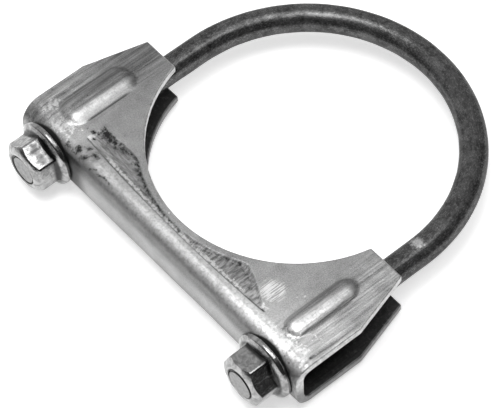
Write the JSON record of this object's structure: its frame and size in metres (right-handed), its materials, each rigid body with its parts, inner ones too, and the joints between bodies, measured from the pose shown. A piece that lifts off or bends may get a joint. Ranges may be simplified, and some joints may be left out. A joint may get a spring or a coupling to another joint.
{
  "type": "exhaust u-bolt clamp",
  "caption": "U-bolt saddle clamp: threaded round-rod U-bolt drawn through a pressed channel saddle by hex flange nuts to grip a round pipe.",
  "frame": {"origin": "on the pipe axis (centre of the saddle's pipe seat), midway through the saddle's height", "axes": "+Z along the pipe, +Y from the saddle towards the bend of the U-bolt, +X from the left nut to the right nut"},
  "size_m": [0.1232, 0.1195, 0.021],
  "materials": {
    "saddle_zinc": "pressed zinc-plated sheet steel with forming streaks and scuffs",
    "rod_scale": "dark mottled mill scale",
    "nut_zinc": "bright zinc plate"
  },
  "bodies": {
    "saddle": {"saddle": "saddle_zinc"},
    "u_bolt": {"u_bolt": "rod_scale"},
    "nut_left": {"nut_left": "nut_zinc"},
    "nut_right": {"nut_right": "nut_zinc"}
  },
  "joints": [
    {"name": "u_bolt_draw", "type": "slide", "parent": "saddle", "child": "u_bolt", "axis": [0, -1, 0], "range_m": [-0.0045, 0.018]},
    {"name": "nut_left_turn", "type": "hinge", "parent": "saddle", "child": "nut_left", "pos_m": [-0.04885, -0.05905, 0], "axis": [0, 1, 0], "range_deg": [-1080, 4320]},
    {"name": "nut_right_turn", "type": "hinge", "parent": "saddle", "child": "nut_right", "pos_m": [0.04885, -0.05905, 0], "axis": [0, 1, 0], "range_deg": [-1080, 4320]}
  ],
  "couplings": [
    {"joint": "nut_left_turn", "follows": "u_bolt_draw", "rad_per_m": 4188.8},
    {"joint": "nut_right_turn", "follows": "u_bolt_draw", "rad_per_m": 4188.8}
  ]
}
